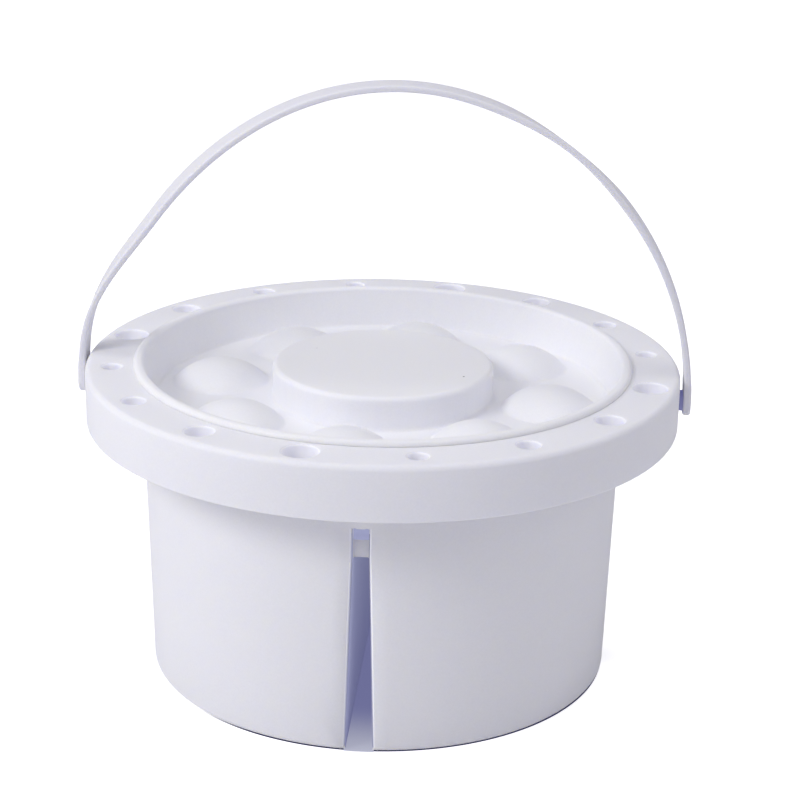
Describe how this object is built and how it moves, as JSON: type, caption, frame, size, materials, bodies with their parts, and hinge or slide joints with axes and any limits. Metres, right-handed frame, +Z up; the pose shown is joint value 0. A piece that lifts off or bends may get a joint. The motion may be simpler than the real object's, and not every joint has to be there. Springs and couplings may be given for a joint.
{
  "type": "brush washer with lid",
  "caption": "Round divided water bucket for rinsing paint brushes, with a rim of brush holes, a lift-out palette lid with domes, and a strap handle.",
  "frame": {"origin": "on the surface it stands on, under the centre of the bucket", "axes": "+Z up; the handle turns about +X; the slot seen in front is at -Y"},
  "size_m": [0.2078, 0.2, 0.2008],
  "materials": {
    "bucket_plastic": "white injection-moulded plastic, satin gloss",
    "lid_plastic": "white injection-moulded plastic, satin gloss",
    "handle_plastic": "white flexible moulded plastic, satin"
  },
  "bodies": {
    "bucket": {"bucket": "bucket_plastic"},
    "lid": {"palette_lid": "lid_plastic"},
    "handle": {"carry_handle": "handle_plastic"}
  },
  "joints": [
    {"name": "handle_swing", "type": "hinge", "parent": "bucket", "child": "handle", "pos_m": [0, 0, 0.096], "axis": [1, 0, 0], "range_deg": [-59, 59]},
    {"name": "lid_lift", "type": "slide", "parent": "bucket", "child": "lid", "axis": [0, 0, 1], "range_m": [0, 0.033]}
  ]
}
